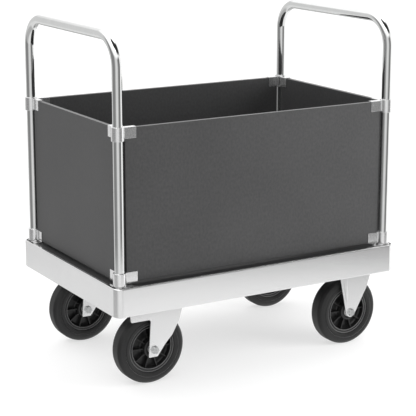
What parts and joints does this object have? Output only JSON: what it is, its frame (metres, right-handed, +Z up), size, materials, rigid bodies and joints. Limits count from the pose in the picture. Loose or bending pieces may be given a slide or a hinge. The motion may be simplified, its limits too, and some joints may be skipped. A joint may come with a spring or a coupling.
{
  "type": "platform trolley",
  "caption": "Platform trolley with a sheet-steel deck, a tubular handle frame at each end, board sides held by corner clamps, and swivel and fixed castors.",
  "frame": {"origin": "on the floor, under the middle of the deck", "axes": "+X along the deck towards the fixed castors, +Y across the deck towards the rear side, +Z up"},
  "size_m": [0.9, 0.6, 0.9645],
  "materials": {
    "deck_steel": "galvanised sheet, satin",
    "underframe_steel": "galvanised, matt",
    "tube_zinc": "bright zinc plating",
    "clamp_zinc": "zinc plated, satin",
    "castor_zinc": "zinc plated pressing",
    "fastener_zinc": "zinc plated",
    "panel_board": "dark grey laminate with a fine texture",
    "deck_board": "dark grey laminate",
    "rim_plastic": "moulded black plastic",
    "tyre_rubber": "smooth black rubber",
    "bush_nylon": "natural nylon"
  },
  "bodies": {
    "root": {"deck_frame": "deck_steel", "board_ledge": "deck_steel", "deck_board": "deck_board", "castor_rail_left": "underframe_steel", "castor_rail_right": "underframe_steel", "centre_rail": "underframe_steel", "socket_front_left": "underframe_steel", "socket_front_right": "underframe_steel", "socket_rear_left": "underframe_steel", "socket_rear_right": "underframe_steel", "end_frame_left": "tube_zinc", "end_frame_right": "tube_zinc", "panel_front": "panel_board", "panel_rear": "panel_board", "panel_left": "panel_board", "panel_right": "panel_board", "clamp_upper_front_left": "clamp_zinc", "clamp_upper_front_right": "clamp_zinc", "clamp_upper_rear_left": "clamp_zinc", "clamp_upper_rear_right": "clamp_zinc", "clamp_lower_front_left": "clamp_zinc", "clamp_lower_front_right": "clamp_zinc", "clamp_lower_rear_left": "clamp_zinc", "clamp_lower_rear_right": "clamp_zinc", "clamp_screws": "fastener_zinc", "socket_bolts": "fastener_zinc", "castor_bolts": "fastener_zinc", "castor_nuts": "fastener_zinc", "swivel_plate_front_left": "castor_zinc", "swivel_plate_rear_left": "castor_zinc", "king_bolt_front_left": "fastener_zinc", "king_bolt_rear_left": "fastener_zinc", "bracket_front_right": "castor_zinc", "bracket_rear_right": "castor_zinc", "fixed_axle_bolts": "fastener_zinc", "fixed_axle_nuts": "fastener_zinc", "fixed_axle_sleeves": "fastener_zinc"},
    "swivel_front_left": {"fork_front_left": "castor_zinc", "ball_ring_front_left": "fastener_zinc", "axle_bolt_front_left": "fastener_zinc", "axle_nut_front_left": "fastener_zinc", "axle_sleeve_front_left": "fastener_zinc"},
    "swivel_rear_left": {"fork_rear_left": "castor_zinc", "ball_ring_rear_left": "fastener_zinc", "axle_bolt_rear_left": "fastener_zinc", "axle_nut_rear_left": "fastener_zinc", "axle_sleeve_rear_left": "fastener_zinc"},
    "wheel_front_left": {"rim_front_left": "rim_plastic", "bush_front_left": "bush_nylon", "tyre_front_left": "tyre_rubber"},
    "wheel_rear_left": {"rim_rear_left": "rim_plastic", "bush_rear_left": "bush_nylon", "tyre_rear_left": "tyre_rubber"},
    "wheel_front_right": {"rim_front_right": "rim_plastic", "bush_front_right": "bush_nylon", "tyre_front_right": "tyre_rubber"},
    "wheel_rear_right": {"rim_rear_right": "rim_plastic", "bush_rear_right": "bush_nylon", "tyre_rear_right": "tyre_rubber"}
  },
  "joints": [
    {"name": "swivel_front_left", "type": "hinge", "parent": "root", "child": "swivel_front_left", "pos_m": [-0.261, -0.205, 0.209], "axis": [0, 0, 1], "continuous": true},
    {"name": "roll_front_left", "type": "hinge", "parent": "swivel_front_left", "child": "wheel_front_left", "pos_m": [-0.309, -0.205, 0.1], "axis": [0, 1, 0], "continuous": true},
    {"name": "swivel_rear_left", "type": "hinge", "parent": "root", "child": "swivel_rear_left", "pos_m": [-0.261, 0.205, 0.209], "axis": [0, 0, 1], "continuous": true},
    {"name": "roll_rear_left", "type": "hinge", "parent": "swivel_rear_left", "child": "wheel_rear_left", "pos_m": [-0.309, 0.205, 0.1], "axis": [0, 1, 0], "continuous": true},
    {"name": "roll_front_right", "type": "hinge", "parent": "root", "child": "wheel_front_right", "pos_m": [0.338, -0.205, 0.1], "axis": [0, 1, 0], "continuous": true},
    {"name": "roll_rear_right", "type": "hinge", "parent": "root", "child": "wheel_rear_right", "pos_m": [0.338, 0.205, 0.1], "axis": [0, 1, 0], "continuous": true}
  ]
}
